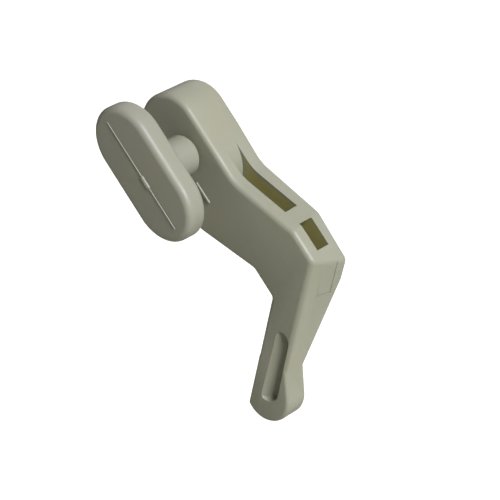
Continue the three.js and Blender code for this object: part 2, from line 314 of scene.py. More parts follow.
def plane_height(first: Vector, second: Vector, third: Vector) -> Callable[[Vector], float]:
    """Gives a function that tells how high a plane through three points is over a place.

    Args:
        first: a point of the plane.
        second: another one.
        third: another one.

    Returns:
        The function from a place to the plane's height there.
    """
    square = (second - first).cross(third - first)
    fall_x, fall_y = square.x / square.z, square.y / square.z
    return lambda place: first.z - fall_x * (place.x - first.x) - fall_y * (place.y - first.y)


def move_corner(obj: bpy.types.Object, start: Vector, goal: Vector) -> None:
    """Moves the corner that stands at one place to another, in edit mode.

    Args:
        obj: the object in edit mode.
        start: where the corner stands, in metres.
        goal: where it goes, in metres.
    """
    if pick(obj, Element.VERT, lambda v: (v.co - start).length < 2 * HAIR) and start != goal:
        bpy.ops.transform.translate(value=goal - start)


def add_prism(name: str, outline: Iterable[Flat], top: float, bottom: float) -> bpy.types.Object:
    """Adds an upright prism on an outline, by drawing the outline and extruding it.

    Args:
        name: the object's name.
        outline: x and y of its corners, anticlockwise, in millimetres.
        top: z of its upper face, in millimetres.
        bottom: z of its lower face, in millimetres.

    Returns:
        The prism.
    """
    points = list(outline)
    bpy.ops.mesh.primitive_circle_add(vertices=len(points), radius=MM, fill_type="NGON")
    obj = name_last(name)
    mesh = edit(obj)
    ring = sorted((v.co.copy() for v in mesh.verts),
                  key=lambda c: math.atan2(c.y, c.x) % (2 * math.pi))
    aside = Vector((0, 0, bottom * MM - MM))  # clear of the outline while its corners move
    pick_all()
    bpy.ops.transform.translate(value=aside)
    for start, (x, y) in zip(ring, points):
        move_corner(obj, start + aside, Vector((x, y, bottom)) * MM)
    pick_all()
    extrude((0, 0, (top - bottom) * MM))
    face_outward()
    return obj


def apply_all(obj: bpy.types.Object) -> None:
    """Applies an object's modifiers, in order.

    Args:
        obj: the object.
    """
    only(obj)
    for modifier in list(obj.modifiers):
        bpy.ops.object.modifier_apply(modifier=modifier.name)


def combine(obj: bpy.types.Object, tool: bpy.types.Object, how: Cut) -> None:
    """Joins a tool to an object or cuts it out, and removes the tool.

    Args:
        obj: the object that is kept.
        tool: the solid that is joined or cut out.
        how: which of the two.
    """
    modifier = obj.modifiers.new(how.name.lower(), "BOOLEAN")
    modifier.operation = how.value
    modifier.solver = "EXACT"
    modifier.object = tool
    apply_all(obj)
    bpy.data.objects.remove(tool, do_unlink=True)


def soften(obj: bpy.types.Object, width: float, segments: int = 2, angle: float = 40) -> None:
    """Rounds every edge sharper than an angle.

    Args:
        obj: the object.
        width: how far the rounding reaches, in millimetres.
        segments: facets across it.
        angle: the least sharpness that is rounded, in degrees.
    """
    modifier = obj.modifiers.new("soften", "BEVEL")
    modifier.width = width * MM
    modifier.segments = segments
    modifier.limit_method = "ANGLE"
    modifier.angle_limit = math.radians(angle)
    modifier.use_clamp_overlap = True
    modifier.miter_outer = "MITER_ARC"
    apply_all(obj)


def clean(obj: bpy.types.Object, smooth: float = 32, least: float = 0.002) -> None:
    """Merges doubles, drops slivers and smooths all but the sharp edges.

    Args:
        obj: the object.
        smooth: the least sharpness that stays sharp, in degrees.
        least: the shortest edge that is kept, in millimetres.
    """
    edit(obj)
    pick_all()
    bpy.ops.mesh.remove_doubles(threshold=least * MM)
    pick_all()
    bpy.ops.mesh.dissolve_degenerate(threshold=least * MM)
    leave_edit()
    only(obj)
    bpy.ops.object.shade_smooth_by_angle(angle=math.radians(smooth))


# ---------------------------------------------------------------- shader groups

def new_group(name: str, inputs: dict[str, tuple[str, object]], outputs: dict[str, str]
              ) -> tuple[bpy.types.NodeTree, bpy.types.Node, bpy.types.Node]:
    """Starts a shader node group with named sockets.

    Args:
        name: the group's name.
        inputs: socket name to its type and default value.
        outputs: socket name to its type.

    Returns:
        The group, its input node and its output node.
    """
    group = bpy.data.node_groups.new(name, "ShaderNodeTree")
    for label, (kind, value) in inputs.items():
        socket = group.interface.new_socket(label, in_out="INPUT", socket_type=kind)
        if value is not None:
            socket.default_value = value
    for label, kind in outputs.items():
        group.interface.new_socket(label, in_out="OUTPUT", socket_type=kind)
    return group, group.nodes.new("NodeGroupInput"), group.nodes.new("NodeGroupOutput")


def math_node(tree: bpy.types.NodeTree, operation: str, first: Amount,
              second: Amount = 0.0) -> Socket:
    """Adds a math node.

    Args:
        tree: the tree or group it goes in.
        operation: what it does.
        first: its first value.
        second: its second value, where the operation has one.

    Returns:
        Its output.
    """
    node = tree.nodes.new("ShaderNodeMath")
    node.operation = operation
    for socket, value in zip(node.inputs, (first, second)):
        if isinstance(value, (int, float)):
            socket.default_value = value
        else:
            tree.links.new(value, socket)
    return node.outputs[0]


def product(tree: bpy.types.NodeTree, first: Socket, *others: Amount) -> Socket:
    """Multiplies values, one after the other.

    Args:
        tree: the tree or group the nodes go in.
        first: the first value.
        others: what it is multiplied by.

    Returns:
        The product.
    """
    for other in others:
        first = math_node(tree, "MULTIPLY", first, other)
    return first


def spread(tree: bpy.types.NodeTree, value: Socket, low: float, high: float,
           to_low: float = 0.0, to_high: float = 1.0) -> Socket:
    """Maps a value from one range to another, held at both ends.

    Args:
        tree: the tree or group the node goes in.
        value: the value.
        low: start of its range.
        high: end of its range.
        to_low: what the start becomes.
        to_high: what the end becomes.

    Returns:
        The mapped value.
    """
    node = tree.nodes.new("ShaderNodeMapRange")
    for label, number in (("From Min", low), ("From Max", high),
                          ("To Min", to_low), ("To Max", to_high)):
        node.inputs[label].default_value = number
    tree.links.new(value, node.inputs["Value"])
    return node.outputs[0]


def noise(tree: bpy.types.NodeTree, where: Socket, scale: float, detail: float = 3.0,
          rough: float = 0.5) -> Socket:
    """Adds a noise texture.

    Args:
        tree: the tree or group it goes in.
        where: the place it is read at.
        scale: how many times it repeats in a metre.
        detail: how many finer layers it has.
        rough: how strong each finer layer is.

    Returns:
        Its value, which is about 0.5 on average.
    """
    node = tree.nodes.new("ShaderNodeTexNoise")
    node.inputs["Scale"].default_value = scale
    node.inputs["Detail"].default_value = detail
    node.inputs["Roughness"].default_value = rough
    tree.links.new(where, node.inputs["Vector"])
    return node.outputs["Fac"]


def mix_colour(tree: bpy.types.NodeTree, amount: Socket, first: Tint, second: Tint) -> Socket:
    """Mixes two colours.

    Args:
        tree: the tree or group the node goes in.
        amount: how much of the second colour there is.
        first: the first colour.
        second: the second colour.

    Returns:
        The mixed colour.
    """
    node = tree.nodes.new("ShaderNodeMix")
    node.data_type = "RGBA"
    sockets = {socket.identifier: socket for socket in (*node.inputs, *node.outputs)}
    tree.links.new(amount, sockets["Factor_Float"])
    for label, value in (("A_Color", first), ("B_Color", second)):
        if isinstance(value, tuple):
            sockets[label].default_value = value
        else:
            tree.links.new(value, sockets[label])
    return sockets["Result_Color"]


def grain_group() -> bpy.types.NodeTree:
    """Builds the spark-eroded grain of a mould: fine pits over a soft waviness.

    Returns:
        The group, which puts out a height in metres.
    """
    group, entry, end = new_group(
        "moulded_grain",
        {"Vector": ("NodeSocketVector", None), "Pits": ("NodeSocketFloat", 1.0),
         "Waves": ("NodeSocketFloat", 1.0)},
        {"Height": "NodeSocketFloat"})
    where = entry.outputs["Vector"]
    pits = noise(group, where, scale=5200.0, detail=2.0, rough=0.6)
    waves = noise(group, where, scale=260.0, detail=2.0, rough=0.4)
    deep = product(group, pits, entry.outputs["Pits"])
    broad = product(group, waves, entry.outputs["Waves"])
    group.links.new(math_node(group, "ADD", deep, broad), end.inputs["Height"])
    return group


def unevenness_and_painted_light_group() -> bpy.types.NodeTree:
    """Builds the unevenness of undyed nylon (cloudy tint, flow streaks, specks, handling) and
    painted light.

    Returns:
        The group, which puts out a colour with a painted light tint mixed in where the mask says so,
        and an uneven sheen.
    """
    group, entry, end = new_group(
        "nylon_unevenness_and_painted_light",
        {"Vector": ("NodeSocketVector", None), "Base": ("NodeSocketColor", (1, 1, 1, 1)),
         "Warm": ("NodeSocketColor", (1, 1, 1, 1)), "Painted_Light_Mask": ("NodeSocketFloat", 0.0),
         "Painted_Light_Tint": ("NodeSocketColor", (0, 0, 0, 1))},
        {"Color": "NodeSocketColor", "Sheen": "NodeSocketFloat"})
    where = entry.outputs["Vector"]
    warm = entry.outputs["Warm"]
    cloud_share, streak_share, speck_share = 0.55, 0.16, 0.35
    speck_colour = (0.20, 0.17, 0.11, 1.0)
    cloud = spread(group, noise(group, where, scale=75.0, rough=0.55), 0.35, 0.68)
    stretch = group.nodes.new("ShaderNodeMapping")
    stretch.inputs["Scale"].default_value = (0.35, 1.0, 1.0)
    group.links.new(where, stretch.inputs["Vector"])
    flow = noise(group, stretch.outputs[0], scale=420.0, detail=4.0, rough=0.6)
    streak = spread(group, flow, 0.4, 0.75)
    specks = spread(group, noise(group, where, scale=900.0, detail=1.0), 0.775, 0.8)
    handling = noise(group, where, scale=140.0, detail=4.0, rough=0.6)
    tinted = mix_colour(group, product(group, cloud, cloud_share), entry.outputs["Base"], warm)
    flowed = mix_colour(group, product(group, streak, streak_share), tinted, warm)
    dusted = mix_colour(group, product(group, specks, speck_share), flowed, speck_colour)
    # painted light: where the mask says so, this tint stands in for shade and warm bounce light in
    # the pockets, or for a highlight on the head's raised lines
    colour = mix_colour(group, entry.outputs["Painted_Light_Mask"], dusted, entry.outputs["Painted_Light_Tint"])
    group.links.new(colour, end.inputs["Color"])
    group.links.new(spread(group, handling, 0.3, 0.7), end.inputs["Sheen"])
    return group


def plating_group() -> bpy.types.NodeTree:
    """Builds the fine turned and tumbled marks of zinc-plated steel.

    Returns:
        The group, which puts out a shade and a height.
    """
    group, entry, end = new_group(
        "zinc_plating",
        {"Vector": ("NodeSocketVector", None)},
        {"Shade": "NodeSocketFloat", "Height": "NodeSocketFloat"})
    where = entry.outputs["Vector"]
    spangle_share, fine_share = 0.4, 0.6
    spangle = noise(group, where, scale=900.0, rough=0.6)
    fine = noise(group, where, scale=6000.0, detail=2.0)
    height = math_node(group, "ADD", product(group, spangle, spangle_share),
                       product(group, fine, fine_share))
    group.links.new(spread(group, spangle, 0.3, 0.7), end.inputs["Shade"])
    group.links.new(height, end.inputs["Height"])
    return group


@dataclass(frozen=True)
class ShaderGroups:
    """The node groups that the finishes share.

    Attributes:
        grain: moulded grain.
        unevenness_and_painted_light: uneven tint of nylon, with the painted light tint mixed in
            where a mask says so.
        plating: marks of plated steel.
    """

    grain: bpy.types.NodeTree
    unevenness_and_painted_light: bpy.types.NodeTree
    plating: bpy.types.NodeTree

    @staticmethod
    def build() -> "ShaderGroups":
        """Builds each group once."""
        return ShaderGroups(grain_group(), unevenness_and_painted_light_group(), plating_group())


# ---------------------------------------------------------------- finishes

def blank_material(name: str) -> tuple[bpy.types.Material, bpy.types.Node, Socket]:
    """Starts a material.

    Args:
        name: its name.

    Returns:
        The material, its Principled node and its Object coordinates socket.
    """
    material = bpy.data.materials.new(name)
    material.use_nodes = True
    tree = material.node_tree
    shader = tree.nodes["Principled BSDF"]
    where = tree.nodes.new("ShaderNodeTexCoord").outputs["Object"]
    return material, shader, where


def place_group(tree: bpy.types.NodeTree, group: bpy.types.NodeTree,
                where: Socket) -> bpy.types.Node:
    """Places a node group in a material's tree.

    Args:
        tree: the tree.
        group: the group.
        where: the place that the group reads.

    Returns:
        The group's node.
    """
    node = tree.nodes.new("ShaderNodeGroup")
    node.node_tree = group
    tree.links.new(where, node.inputs["Vector"])
    return node


def add_bump(tree: bpy.types.NodeTree, shader: bpy.types.Node, height: Socket,
             strength: float, distance: float) -> None:
    """Lets a height tilt a material's normal.

    Args:
        tree: the material's tree.
        shader: its Principled node.
        height: the height.
        strength: how strongly it shows.
        distance: what a height of 1 stands for, in metres.
    """
    bump = tree.nodes.new("ShaderNodeBump")
    bump.inputs["Strength"].default_value = strength
    bump.inputs["Distance"].default_value = distance
    tree.links.new(height, bump.inputs["Height"])
    tree.links.new(bump.outputs["Normal"], shader.inputs["Normal"])


@dataclass(frozen=True)
class MouldedNylon:
    """Satin undyed nylon as it comes out of a spark-eroded mould.

    Attributes:
        name: the material's name.
        base: its colour.
        warm: the warmer tint of its cloudy patches.
        painted_light_tint: the colour painted where a mask says so: painted shade and warm bounce
            light deep in a pocket, or the paler flash with a painted highlight on a raised line.
        roughness: its mean roughness.
        duller: how much rougher its dullest parts are.
        glossier: how much smoother its glossiest parts are.
        grain: height of the pits, in millimetres.
        waves: height of the soft waviness, in millimetres.
    """

    name: str
    base: Point = (0.228, 0.226, 0.160)
    warm: Point = (0.228, 0.219, 0.144)
    # painted shade and warm bounce light of the pockets
    painted_light_tint: Point = (0.31, 0.28, 0.092)
    roughness: float = 0.46
    duller: float = 0.07
    glossier: float = 0.05
    grain: float = 0.012
    waves: float = 0.03

    def build(self, groups: ShaderGroups,
              shade: Optional[bpy.types.NodeTree] = None) -> bpy.types.Material:
        """Builds the material.

        Args:
            groups: the shared node groups.
            shade: a group that masks where the painted light tint applies.

        Returns:
            The material.
        """
        material, shader, where = blank_material(self.name)
        tree = material.node_tree
        unevenness_and_painted_light = place_group(tree, groups.unevenness_and_painted_light, where)
        for label, colour in (("Base", self.base), ("Warm", self.warm), ("Painted_Light_Tint", self.painted_light_tint)):
            unevenness_and_painted_light.inputs[label].default_value = (*colour, 1.0)
        if shade is not None:
            # the mask says where the painted shade or painted highlight tint goes
            mask = place_group(tree, shade, where).outputs["Mask"]
            tree.links.new(mask, unevenness_and_painted_light.inputs["Painted_Light_Mask"])
        rough = spread(tree, unevenness_and_painted_light.outputs["Sheen"], 0.0, 1.0,
                       self.roughness - self.glossier, self.roughness + self.duller)
        tree.links.new(unevenness_and_painted_light.outputs["Color"], shader.inputs["Base Color"])
        tree.links.new(rough, shader.inputs["Roughness"])
        grain = place_group(tree, groups.grain, where)
        grain.inputs["Pits"].default_value = self.grain * MM
        grain.inputs["Waves"].default_value = self.waves * MM
        add_bump(tree, shader, grain.outputs["Height"], strength=0.6, distance=1.0)
        for label, value in (("IOR", 1.53), ("Specular IOR Level", 0.30),
                             ("Subsurface Weight", 0.12), ("Subsurface Radius", (1.0, 0.9, 0.6)),
                             ("Subsurface Scale", 0.6 * MM)):
            shader.inputs[label].default_value = value
        return material


@dataclass(frozen=True)
class PlatedSteel:
    """Bright zinc-plated steel of a small fastener.

    Attributes:
        name: the material's name.
        light: the brighter tone of the plating.
        dark: the duller tone.
        roughness: its mean roughness.
        duller: how much rougher its dullest parts are.
        glossier: how much smoother its glossiest parts are.
        marks: height of its marks, in millimetres.
    """

    name: str
    light: Point = (0.66, 0.67, 0.69)
    dark: Point = (0.47, 0.47, 0.48)
    roughness: float = 0.3
    duller: float = 0.1
    glossier: float = 0.05
    marks: float = 0.01

    def build(self, groups: ShaderGroups) -> bpy.types.Material:
        """Builds the material.

        Args:
            groups: the shared node groups.

        Returns:
            The material.
        """
        material, shader, where = blank_material(self.name)
        tree = material.node_tree
        plating = place_group(tree, groups.plating, where)
        shade = plating.outputs["Shade"]
        colour = mix_colour(tree, shade, (*self.dark, 1.0), (*self.light, 1.0))
        rough = spread(tree, shade, 0.0, 1.0,
                       self.roughness + self.duller, self.roughness - self.glossier)
        tree.links.new(colour, shader.inputs["Base Color"])
        tree.links.new(rough, shader.inputs["Roughness"])
        add_bump(tree, shader, plating.outputs["Height"], strength=0.35,
                 distance=self.marks * MM)
        shader.inputs["Metallic"].default_value = 1.0
        return material


# ---------------------------------------------------------------- pieces

@dataclass
class Piece:
    """What each piece of the latch has in common.

    Attributes:
        axes: the arm's axes in the frame.
    """

    axes: ArmAxes

    def mask_group(self, name: str) -> tuple[bpy.types.NodeTree, list[Socket], bpy.types.Node]:
        """Starts a group that turns a place in the frame into a mask.

        Args:
            name: the group's name.

        Returns:
            The group, the place measured along the arm's three axes, and its output node.
        """
        group, entry, end = new_group(
            name, {"Vector": ("NodeSocketVector", None)}, {"Mask": "NodeSocketFloat"})
        measures = []
        for i in range(3):
            node = group.nodes.new("ShaderNodeVectorMath")
            node.operation = "DOT_PRODUCT"
            node.inputs[1].default_value = self.axes.turn.col[i].xyz
            group.links.new(entry.outputs["Vector"], node.inputs[0])
            measures.append(node.outputs["Value"])
        return group, measures, end

    def hand_over(self, obj: bpy.types.Object, body: Body, node: str, slot: str,
                  finish: bpy.types.Material) -> bpy.types.Object:
        """Turns a piece into the frame, dresses it, hangs it on its body and hides the CAD node it
        replaces.

        Args:
            obj: the finished mesh, in the arm's axes.
            body: the body it moves with.
            node: the CAD node it replaces.
            slot: the record's material slot; not used.
            finish: its material.

        Returns:
            The piece.
        """
        obj.matrix_world = self.axes.turn
        settle(obj)
        obj.data.materials.clear()
        obj.data.materials.append(finish)
        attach(obj, body.value)
        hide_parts(node)
        log.info("%s: %d faces on body %s", obj.name, len(obj.data.polygons), body.value)
        return obj


@dataclass
class LeverArm(Piece):
    """The cranked lever: boss, splayed arm, knuckle, handle and finger tip.

    Attributes:
        near: z of its near side.
        boss_radius: half the width of the boss.
        boss_thickness: its thickness at the pivot.
        crown_offset: centre of the round crown, above the pivot.
        shoulder: pivot to the first bend.
        splay_length: length of the splayed arm's outer face.
        splay_angle: its angle, in degrees outwards.
        splay_lean: degrees that its outer face leans out towards the far side.
        knuckle_length: length of the knuckle's outer face.
        knuckle_thickness: thickness at the knuckle.
        depth: spine to inner edge at the knuckle.
        bulge: swell of the inner edge below the boss.
        bulge_lag: how far past the first bend the swell ends.
        inner_lag: how far past the second bend the inner edge bends.
        handle_length: length of the handle's outer face.
        handle_angle: its angle, in degrees inwards.
        handle_depth: its depth below the knuckle.
        handle_lean: degrees that its outer face leans out towards the far side.
        end_fall: how far its near side falls away towards the tip.
        thinning_start: where its far side starts to thin.
        end_thickness: its thickness above the tip.
        end_reach: how far it runs on into the tip.
        tip_thickness: thickness of the finger tip.
        tip_taper: how far up the handle the tip begins to swell.
        tip_radius: radius of the finger tip.
        tip_bulge: how far the tip stands out past the handle's outer face.
        tip_corner: inner corner of the tip from its centre, along and across the handle.
        tip_sink: how far the tip's near side lies below the handle's.
        tip_trim: how far the tip's inner side lies within the handle's.
        tip_rim: rounding of the tip's rims.
        rim: rounding of the other rims.
        edge: rounding of the pockets' and holes' edges.
        pocket_offset: near side to the pockets.
        pocket_width: width of the pockets.
        pocket_floor: wall between the pockets' floors and the arm's inner edge.
        pocket_mouth: how far their cutters stand out of the spine.
        hub_radius: radius of the hub's round wall, which closes the long pocket.
        hub_offset: its centre, along the arm from the pivot.
        rib: wall between the long pocket's end and the second bend.
        short_start: second bend to the short pocket.
        short_length: its length.
        plug_start: third bend to the plugged pocket.
        plug_length: its length.
        plug_pocket_depth: its depth.
        dish_start: knuckle to the finger dish.
        dish_end: knuckle to its other end.
        dish_inset: handle's outer face to its middle.
        dish_width: its width.
        dish_narrowing: its width at the knuckle's end, as a share of the other end's.
        dish_depth: its depth at the middle.
        dish_tilt: degrees that its floor turns towards the outer face.
        dish_turn: degrees that it turns from the handle's own line.
        dish_round: rounding of its floor.
        bore_radius: radius of the bore.
        seat_radius: radius of the washer's seat.
        seat_depth: its depth.
        flash_low: near inner corner of the parting line's start.
        flash_high: far outer corner of its end.
        flash_round: rounding of the parting line.
        shade_ramp: depths between which the pockets' painted shade sets in.
        shade_end: depth at which it stops.
        hub_ramp: how far from the hub's wall it sets in, likewise.
        along: direction of the handle.
        outward: direction out of its outer face.
        splay: direction of the splayed arm.
        corners: the bends of the near outline, and places of the tip.
    """

    near: float
    boss_radius: float = 8.3
    boss_thickness: float = 12.55
    crown_offset: float = 6.9
    shoulder: float = 12.0
    splay_length: float = 18.3
    splay_angle: float = 23.0
    splay_lean: float = 3.0
    knuckle_length: float = 7.9
    knuckle_thickness: float = 10.9
    depth: float = 16.7
    bulge: float = 1.3
    bulge_lag: float = 2.5
    inner_lag: float = 1.3
    handle_length: float = 33.5
    handle_angle: float = 55.9
    handle_depth: float = 8.5
    handle_lean: float = 14.0
    end_fall: float = 0.04
    thinning_start: float = 7.0
    end_thickness: float = 4.4
    end_reach: float = 3.0
    tip_thickness: float = 6.9
    tip_taper: float = 3.0
    tip_radius: float = 6.2
    tip_bulge: float = 2.6
    tip_corner: Flat = (4.9, 4.6)
    tip_sink: float = 0.02
    tip_trim: float = 0.05
    tip_rim: float = 1.3
    rim: float = 1.25
    edge: float = 0.16
    pocket_offset: float = 3.5
    pocket_width: float = 4.2
    pocket_floor: float = 3.0
    pocket_mouth: float = 3.0
    hub_radius: float = 10.0
    hub_offset: float = 3.0
    rib: float = 5.4
    short_start: float = -1.1
    short_length: float = 7.2
    plug_start: float = 1.7
    plug_length: float = 8.6
    plug_pocket_depth: float = 5.0
    dish_start: float = 21.2
    dish_end: float = 40.6
    dish_inset: float = 4.2
    dish_width: float = 5.4
    dish_narrowing: float = 0.82
    dish_depth: float = 0.55
    dish_tilt: float = 34.0
    dish_turn: float = 1.0
    dish_round: float = 0.9
    bore_radius: float = 4.15
    seat_radius: float = 6.4
    seat_depth: float = 3.4
    flash_low: Point = (6.7, -1.75, -0.3)
    flash_high: Point = (12.3, -1.15, 0.35)
    flash_round: float = 0.18
    shade_ramp: Flat = (0.02, 0.4)
    shade_end: float = 15.2
    hub_ramp: Flat = (0.1, 1.6)
    along: Vector = field(init=False)
    outward: Vector = field(init=False)
    splay: Vector = field(init=False)
    corners: dict[str, Vector] = field(init=False)

    def __post_init__(self) -> None:
        """Works out the arm's bends from its lengths and angles."""
        self.along = heading(-self.handle_angle)
        self.outward = Vector((-self.along.y, self.along.x, 0.0))
        self.splay = heading(self.splay_angle)
        first = Vector((self.shoulder, self.boss_radius, 0.0))
        second = first + self.splay * self.splay_length
        third = second + Vector((self.knuckle_length, 0.0, 0.0))
        end = third + self.along * self.handle_length
        tip = end + self.along * self.tip_radius + self.outward * (self.tip_bulge - self.tip_radius)
        corner = tip + self.along * self.tip_corner[0] - self.outward * self.tip_corner[1]
        inner_y = second.y - self.depth
        inner_third = third - self.outward * self.handle_depth
        inner_third += self.along * ((inner_third.y - inner_y) / -self.along.y)
        self.corners = {
            "first": first, "second": second, "third": third, "end": end, "tip": tip,
            "corner": corner, "inner_third": inner_third,
            "inner_second": Vector((second.x + self.inner_lag, inner_y, 0.0)),
            "inner_first": Vector((self.shoulder + self.bulge_lag,
                                   -self.boss_radius - self.bulge, 0.0)),
        }

    def far_depth(self, x: float) -> float:
        """Tells the thickness of the drawn-in arm at a distance along its x axis."""
        draft = (self.boss_thickness - self.knuckle_thickness) / self.corners["third"].x
        return self.boss_thickness - draft * max(x, 0.0)

    def sections(self) -> list[list[Point]]:
        """Lists the arm's cross sections from the crown to the tip.

        Returns:
            For each section its outer near, inner near, inner far and outer far corner.
        """
        at = self.corners
        splay_slide = -(math.tan(math.radians(self.splay_lean))
                        / math.sin(math.radians(self.splay_angle)))
        handle_slide = math.tan(math.radians(self.handle_lean))
        start = -self.crown_offset
        full = self.boss_thickness
        rows = [[(start, self.boss_radius, 0.0), (start, -self.boss_radius, 0.0),
                 (start, -self.boss_radius, -full), (start, self.boss_radius, -full)]]

        def across(outer: Vector, inner: Vector, slide: float) -> None:
            """Adds a section whose far outer corner slides along the outline.

            Args:
                outer: its outer near corner.
                inner: its inner near corner.
                slide: how far the far outer corner is moved along x.
            """
            rows.append([(outer.x, outer.y, 0.0), (inner.x, inner.y, 0.0),
                         (inner.x, inner.y, -self.far_depth(inner.x)),
                         (outer.x + slide, outer.y, -self.far_depth(outer.x + slide))])

        swell = self.bulge * self.crown_offset / (at["inner_first"].x + self.crown_offset)
        across(Vector((0.0, self.boss_radius, 0.0)),
               Vector((0.0, -self.boss_radius - swell, 0.0)), 0.0)
        across(at["first"], at["inner_first"], splay_slide * self.far_depth(self.shoulder))
        across(at["second"], at["inner_second"], splay_slide * self.far_depth(at["second"].x))
        across(at["third"], at["inner_third"],
               handle_slide * self.far_depth(at["third"].x) / self.outward.x)
        near = plane_height(at["third"], at["inner_third"],
                            at["end"] - Vector((0, 0, self.end_fall)))
        inner_run = (at["corner"] - at["inner_third"]).normalized()
        least_step = 2.0  # keeps the inner corners apart where the handle starts
        for distance, thickness in ((self.thinning_start, None),
                                    (self.handle_length, self.end_thickness),
                                    (self.handle_length + self.end_reach, self.end_thickness)):
            outer = at["third"] + self.along * distance
            reach = distance - (at["inner_third"] - at["third"]).dot(self.along)
            inner = at["inner_third"] + (
                inner_run * max(reach, least_step) / inner_run.dot(self.along))
            far = outer + self.outward * handle_slide * (thickness or self.far_depth(outer.x))
            rows.append([(outer.x, outer.y, near(outer)), (inner.x, inner.y, near(inner)),
                         (inner.x, inner.y, -(thickness or self.far_depth(inner.x))),
                         (far.x, far.y, -(thickness or self.far_depth(far.x)))])
        return rows

    def shank(self) -> bpy.types.Object:
        """Draws the arm: half a round bar for the crown, extruded on through the sections.

        Returns:
            The arm, with sharp edges.
        """
        rows = self.sections()
        obj = add_round("lever_arm", (-self.crown_offset, 0), self.boss_radius,
                        0.0, -self.boss_thickness, 80)
        edit(obj)
        pick_all()
        bpy.ops.mesh.bisect(plane_co=(-self.crown_offset * MM, 0, 0), plane_no=(1, 0, 0),
                            use_fill=True, clear_outer=True)
        pick_all()
        bpy.ops.mesh.remove_doubles(threshold=0.01 * MM)
        for last, row in zip(rows, rows[1:]):
            places = [Vector(point) * MM for point in last]
            goals = [Vector(point) * MM for point in row]
            step = goals[0] - places[0]
            pick(obj, Element.FACE, lambda f: all(
                min((v.co - p).length for p in places) < 2 * HAIR for v in f.verts))
            extrude(step)
            for place, goal in zip(places[1:], goals[1:]):
                move_corner(obj, place + step, goal)
        pick_all()
        bpy.ops.mesh.dissolve_limited(angle_limit=math.radians(0.15))
        face_outward()
        return obj

    def round_bend(self, obj: bpy.types.Object, place: Vector, offset: float, segments: int,
                   slide: float = 0.5) -> None:
        """Rounds the upright edge of the outline at a place.

        Args:
            obj: the arm.
            place: a corner of the near outline, in millimetres.
            offset: how far the rounding reaches from the corner, in millimetres.
            segments: facets of the rounding.
            slide: how far along x the edge's far end may lie from its near end.
        """
        close, least_height = 0.05 * MM, 2 * MM
        edit(obj)

        def at_bend(edge: bmesh.types.BMEdge) -> bool:
            """Says whether an edge runs through the arm's thickness at this corner.

            Args:
                edge: the edge.

            Returns:
                Whether it does.
            """
            near, far = sorted((v.co for v in edge.verts), key=lambda c: -c.z)
            run = far - near
            return ((near - place * MM).xy.length < close and abs(run.z) > least_height
                    and abs(run.x) < slide * MM)

        if pick(obj, Element.EDGE, at_bend):
            bevel(offset, segments)
        else:
            log.warning("no edge at %s", place)
        leave_edit()

    def tip_pad(self) -> bpy.types.Object:
        """Makes the finger tip, which swells out of the handle and ends round.

        Returns:
            The tip, which reaches up into the handle.
        """
        steps = 56
        tip = self.corners["tip"]
        root = self.corners["end"] - self.along * self.tip_taper
        inner = root - self.outward * self.handle_depth
        away = root - tip
        tangent = math.atan2(away.y, away.x) - math.acos(self.tip_radius / away.length)
        last = math.atan2(-self.outward.y, -self.outward.x)
        turns = [last + (tangent - last) * i / steps for i in range(steps + 1)]
        outline = [(tip.x + self.tip_radius * math.cos(t), tip.y + self.tip_radius * math.sin(t))
                   for t in turns]
        outline += [(root.x, root.y), (inner.x, inner.y)]
        pad = add_prism("tip_pad", outline, -self.tip_sink, -self.tip_thickness)
        edit(pad)
        corner = (self.corners["corner"] + self.outward * self.tip_trim) * MM
        run = (self.corners["corner"] - self.corners["inner_third"]).normalized()
        pick_all()
        bpy.ops.mesh.bisect(plane_co=corner, plane_no=(run.y, -run.x, 0), use_fill=True,
                            clear_outer=True)
        pick(pad, Element.EDGE, is_rim)
        bevel(self.tip_rim, 5)
        leave_edit()
        return pad

    def pocket(self, name: str, outline: Iterable[Vector]) -> bpy.types.Object:
        """Makes a cutter between the pockets' side walls.

        Args:
            name: its name.
            outline: its corners, anticlockwise.

        Returns:
            The cutter.
        """
        return add_prism(name, [(p.x, p.y) for p in outline], -self.pocket_offset,
                         -self.pocket_offset - self.pocket_width)

    def long_pocket(self) -> bpy.types.Object:
        """Makes the cutter of the long pocket, which ends at the hub's round wall.

        Returns:
            The cutter.
        """
        at = self.corners
        end = at["second"] - self.splay * self.rib
        across = Vector((-self.splay.y, self.splay.x, 0.0))
        out = across * self.pocket_mouth
        run = (at["inner_second"] - at["inner_first"]).normalized()
        normal = Vector((-run.y, run.x, 0.0))
        floor_start = at["inner_first"] + normal * self.pocket_floor
        floor_end = end - across * ((end - floor_start).dot(normal) / across.dot(normal))
        cutter = self.pocket("long_pocket", [
            Vector((self.hub_offset, 0.0, 0.0)), floor_start, floor_end, end + out,
            at["first"] + out,
            Vector((self.hub_offset, self.boss_radius + self.pocket_mouth, 0.0))])
        hub = add_round("hub", (self.hub_offset, self.boss_radius - self.hub_radius),
                        self.hub_radius, 0.0, -self.boss_thickness, 160)
        combine(cutter, hub, Cut.TAKE_AWAY)
        return cutter

    def short_pocket(self) -> bpy.types.Object:
        """Makes the cutter of the short pocket, in the knuckle.

        Returns:
            The cutter.
        """
        left = self.corners["second"].x + self.short_start
        right = left + self.short_length
        floor = self.corners["inner_second"].y + self.pocket_floor
        top = self.corners["second"].y + self.pocket_mouth
        return self.pocket("short_pocket", [
            Vector((left, floor, 0)), Vector((right, floor, 0)), Vector((right, top, 0)),
            Vector((left, top, 0))])

    def plug_frame(self) -> Matrix:
        """Places a block square to the handle's leaning outer face, in line with the pockets.

        Returns:
            The matrix from the block's own axes, whose y points out of the face.
        """
        middle = self.pocket_offset + self.pocket_width / 2
        lean = math.radians(self.handle_lean)
        place = (self.corners["third"] + self.along * (self.plug_start + self.plug_length / 2)
                 + self.outward * middle * math.tan(lean))
        spot = Vector((place.x, place.y, -middle)) * MM
        return (Matrix.Translation(spot) @ Matrix.Rotation(-math.radians(self.handle_angle), 4, "Z")
                @ Matrix.Rotation(lean, 4, "X"))

